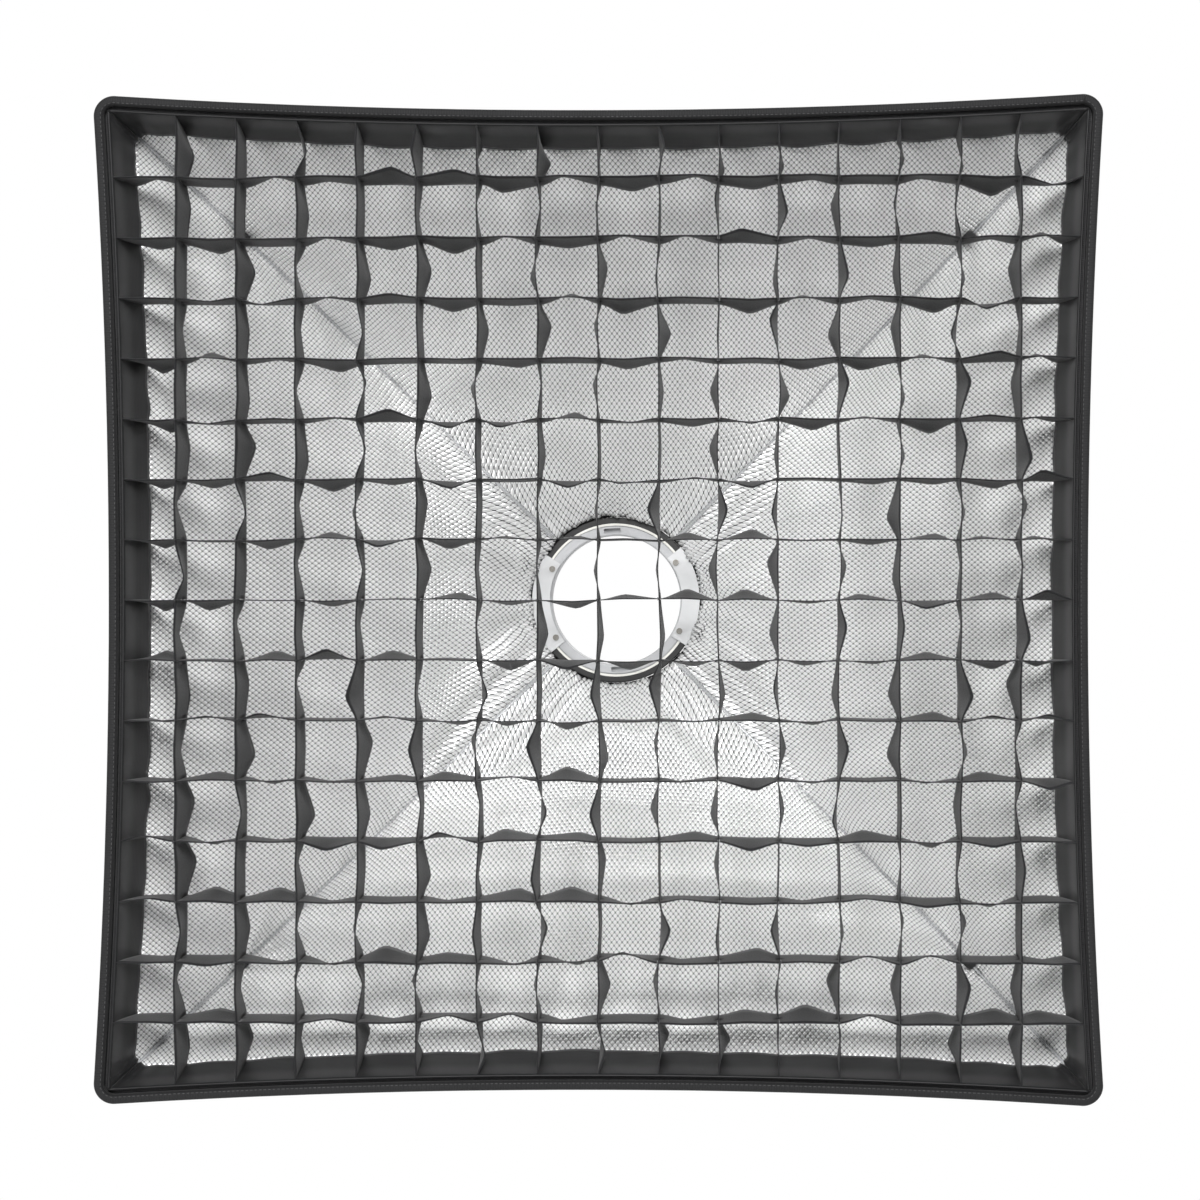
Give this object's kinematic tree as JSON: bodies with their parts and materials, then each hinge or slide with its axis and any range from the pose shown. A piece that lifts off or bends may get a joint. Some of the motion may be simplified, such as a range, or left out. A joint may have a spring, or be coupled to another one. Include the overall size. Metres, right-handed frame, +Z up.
{
  "type": "softbox",
  "caption": "Square folding softbox with a silver lining, a fabric egg-crate grid and a speed ring that turns on a three-lug bayonet insert.",
  "frame": {"origin": "centre of the bayonet insert's bore, in the plane of its rear seat face", "axes": "+Y along the bore towards the light, +Z up, +X to the right seen from the front; the lit opening faces -Y"},
  "size_m": [0.8, 0.3406, 0.8],
  "materials": {
    "insert_white": "white powder coat on cast aluminium, satin",
    "lug_steel": "zinc-plated pressed steel",
    "rivet": "bare aluminium rivets",
    "plate_white": "white powder coat on steel plate, satin",
    "screw_steel": "nickel-plated machine screws",
    "ring_black": "black powder coat on steel ring",
    "wear_ring": "natural acetal, smooth",
    "ferrule_brass": "turned brass ferrule",
    "tip_rubber": "moulded rubber cap",
    "lining_silver": "silver-coated polyester with a pressed pebble emboss",
    "webbing_black": "woven polypropylene webbing",
    "loop_tape": "brushed nylon loop tape",
    "hook_tape": "moulded nylon hook tape",
    "binding_black": "ribbed grosgrain binding, stitched",
    "cover_black": "coated nylon, plain weave",
    "elastic_black": "gathered elastic hem",
    "band_black": "smooth satin nylon",
    "strip_black": "doubled nylon strip, matt",
    "socket_steel": "black-painted steel tube and foot",
    "rod_steel": "drawn spring steel"
  },
  "bodies": {
    "insert": {"mount_insert": "insert_white", "bayonet_lugs": "lug_steel", "lug_rivets": "rivet", "retainer_plate_left": "plate_white", "retainer_plate_right": "plate_white", "retainer_screws": "screw_steel"},
    "softbox": {"speed_ring": "ring_black", "slip_ring": "wear_ring", "socket_rivets": "rivet", "rod_ferrules": "ferrule_brass", "rod_tips": "tip_rubber", "rod_socket_top_right": "socket_steel", "rod_socket_top_left": "socket_steel", "rod_socket_bottom_left": "socket_steel", "rod_socket_bottom_right": "socket_steel", "rod_top_right": "rod_steel", "rod_top_left": "rod_steel", "rod_bottom_left": "rod_steel", "rod_bottom_right": "rod_steel", "rod_sleeve_top_right": "cover_black", "rod_sleeve_top_left": "cover_black", "rod_sleeve_bottom_left": "cover_black", "rod_sleeve_bottom_right": "cover_black", "corner_pocket_top_right": "webbing_black", "corner_pocket_top_left": "webbing_black", "corner_pocket_bottom_left": "webbing_black", "corner_pocket_bottom_right": "webbing_black", "cover_top": "cover_black", "cover_left": "cover_black", "cover_bottom": "cover_black", "cover_right": "cover_black", "lining_top": "lining_silver", "lining_left": "lining_silver", "lining_bottom": "lining_silver", "lining_right": "lining_silver", "seam_tapes": "lining_silver", "baffle_tabs": "webbing_black", "lip_loop_tape": "loop_tape", "rim_binding": "binding_black", "rear_collar": "cover_black", "collar_hem": "elastic_black"},
    "grid": {"grid_band_top": "band_black", "grid_band_left": "band_black", "grid_band_bottom": "band_black", "grid_band_right": "band_black", "grid_hook_tape": "hook_tape", "grid_strips_upright": "strip_black", "grid_strips_level": "strip_black"}
  },
  "joints": [
    {"name": "ring_turn", "type": "hinge", "parent": "insert", "child": "softbox", "pos_m": [0, -0.011, 0], "axis": [0, 1, 0], "continuous": true},
    {"name": "grid_pull", "type": "slide", "parent": "softbox", "child": "grid", "axis": [0, -1, 0], "range_m": [0, 0.12]}
  ]
}
